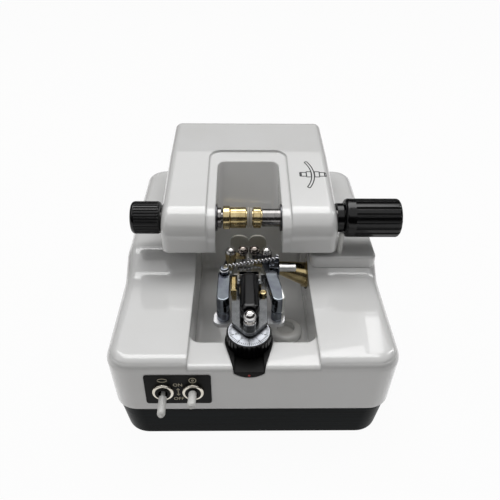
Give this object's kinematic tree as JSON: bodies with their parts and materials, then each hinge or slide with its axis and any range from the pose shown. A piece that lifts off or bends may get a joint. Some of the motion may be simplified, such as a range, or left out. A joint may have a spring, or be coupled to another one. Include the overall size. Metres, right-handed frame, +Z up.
{
  "type": "lens groover",
  "caption": "Bench-top lens groover: a swinging head clamps a lens edge-down between rollers over a thin tilted wheel",
  "frame": {"origin": "middle of the machine's box, on the surface that it stands on", "axes": "+X to the operator's right, +Y to the rear, +Z up"},
  "size_m": [0.2207, 0.2798, 0.1454],
  "materials": {
    "shell_white": "glossy off-white moulding",
    "pan_black": "black enamel",
    "rubber_black": "matt",
    "steel": "machined",
    "chrome": "polished",
    "brass": "turned",
    "dark_steel": "blackened",
    "knob_black": "glossy",
    "black_plastic": "satin",
    "white_pad": "matt",
    "white_plastic": "glossy",
    "aluminium": "satin",
    "board_green": "coated board",
    "wheel_grit": "diamond rim",
    "nickel": "nickel plated"
  },
  "bodies": {
    "base": {"base_pan": "pan_black", "rubber_feet": "rubber_black", "base_screws": "steel", "top_shell": "shell_white", "drain_cup": "white_plastic", "motor_cover": "shell_white", "wheel_motor": "dark_steel", "spindle_housing": "brass", "spindle_seal": "rubber_black", "splash_guard": "shell_white", "head_rest_post": "white_plastic", "switch_plate": "black_plastic", "toggle_switches": "black_plastic", "switch_nuts": "nickel", "dial_holder": "black_plastic", "guide_block": "aluminium", "hinge_bracket": "steel", "power_supply": "board_green", "rear_connectors": "black_plastic"},
    "head": {"head_shell": "shell_white", "head_bottom_cover": "black_plastic", "head_screws": "steel", "head_frame": "aluminium", "spindle_bushes": "brass", "notch_washers": "chrome", "clamp_neck": "black_plastic", "hinge_shaft": "steel", "lens_motor": "dark_steel", "drive_belt": "rubber_black", "clamp_spring": "steel"},
    "lens_drive": {"motor_pulley": "aluminium"},
    "left_spindle": {"left_knob": "knob_black", "left_shaft": "steel", "left_chuck": "brass", "left_pad": "white_pad", "spindle_pulley": "aluminium"},
    "clamp": {"clamp_knob": "knob_black", "clamp_quill": "chrome"},
    "right_spindle": {"right_chuck": "brass", "right_pad": "white_pad"},
    "wheel": {"grinding_wheel": "wheel_grit", "wheel_shaft": "steel"},
    "dial": {"dial_knob": "knob_black", "dial_face": "aluminium"},
    "guide_carriage": {"carriage": "aluminium", "guide_plate": "chrome", "lift_screw": "steel", "bridge_bar": "chrome", "adjusting_block": "brass"},
    "pin": {"lock_pin": "chrome"},
    "arm_left": {"left_arm": "steel", "left_roller_post": "brass", "arm_spring": "steel"},
    "arm_right": {"right_arm": "steel", "right_roller_post": "dark_steel"},
    "roller_left": {"left_roller": "steel"},
    "roller_right": {"right_roller": "steel"},
    "lever": {"guide_lever": "knob_black"},
    "toggle_left": {"lens_toggle": "white_plastic"},
    "toggle_right": {"wheel_toggle": "white_plastic"}
  },
  "joints": [
    {"name": "head_swing", "type": "hinge", "parent": "base", "child": "head", "pos_m": [-0.0099, 0.11505, 0.108], "axis": [-1, 0, 0], "range_deg": [0, 50]},
    {"name": "lens_spin", "type": "hinge", "parent": "head", "child": "left_spindle", "pos_m": [-0.00925, -0.00295, 0.1193], "axis": [1, 0, 0], "continuous": true},
    {"name": "lens_drive_spin", "type": "hinge", "parent": "head", "child": "lens_drive", "pos_m": [-0.0573, 0.08105, 0.1213], "axis": [1, 0, 0], "continuous": true},
    {"name": "clamp_slide", "type": "slide", "parent": "head", "child": "clamp", "axis": [1, 0, 0], "range_m": [0, 0.012], "stiffness_N_per_m": 400, "springref_m": -0.004, "deforming": ["clamp_spring"]},
    {"name": "right_lens_spin", "type": "hinge", "parent": "clamp", "child": "right_spindle", "pos_m": [-0.00925, -0.00295, 0.1193], "axis": [1, 0, 0], "continuous": true},
    {"name": "wheel_spin", "type": "hinge", "parent": "base", "child": "wheel", "pos_m": [-0.01302, -0.01295, 0.08495], "axis": [0.9588, 0, -0.284], "continuous": true},
    {"name": "dial_turn", "type": "hinge", "parent": "base", "child": "dial", "pos_m": [-0.0104, -0.09365, 0.071], "axis": [0, 0, 1], "range_deg": [0, 300]},
    {"name": "carriage_lift", "type": "slide", "parent": "base", "child": "guide_carriage", "axis": [0, 0, 1], "range_m": [0, 0.0006666]},
    {"name": "pin_lift", "type": "slide", "parent": "guide_carriage", "child": "pin", "axis": [0, 0, 1], "range_m": [0, 0.004]},
    {"name": "lever_lift", "type": "hinge", "parent": "guide_carriage", "child": "lever", "pos_m": [-0.0099, -0.05245, 0.0942], "axis": [-1, 0, 0], "range_deg": [0, 45]},
    {"name": "left_arm_open", "type": "hinge", "parent": "guide_carriage", "child": "arm_left", "pos_m": [-0.0293, -0.06795, 0.0874], "axis": [0, 0, 1], "range_deg": [0, 6], "deforming": ["arm_spring"]},
    {"name": "right_arm_open", "type": "hinge", "parent": "guide_carriage", "child": "arm_right", "pos_m": [0.0113, -0.06795, 0.0874], "axis": [0, 0, -1], "range_deg": [0, 6], "deforming": ["arm_spring"]},
    {"name": "left_roller_spin", "type": "hinge", "parent": "arm_left", "child": "roller_left", "pos_m": [-0.0145, -0.01795, 0.0904], "axis": [0, 0, 1], "continuous": true},
    {"name": "right_roller_spin", "type": "hinge", "parent": "arm_right", "child": "roller_right", "pos_m": [-0.0053, -0.01795, 0.0904], "axis": [0, 0, 1], "continuous": true},
    {"name": "lens_switch_throw", "type": "hinge", "parent": "base", "child": "toggle_left", "pos_m": [-0.07, -0.11755, 0.0527], "axis": [-1, 0, 0], "range_deg": [0, 26]},
    {"name": "wheel_switch_throw", "type": "hinge", "parent": "base", "child": "toggle_right", "pos_m": [-0.0492, -0.11755, 0.0527], "axis": [-1, 0, 0], "range_deg": [-26, 0]}
  ],
  "couplings": [
    {"joint": "lens_drive_spin", "follows": "lens_spin", "ratio": 1.24},
    {"joint": "right_lens_spin", "follows": "lens_spin", "ratio": 1},
    {"joint": "dial_turn", "follows": "carriage_lift", "rad_per_m": 7854},
    {"joint": "left_arm_open", "follows": "lever_lift", "ratio": 0.13333},
    {"joint": "right_arm_open", "follows": "lever_lift", "ratio": 0.13333}
  ]
}
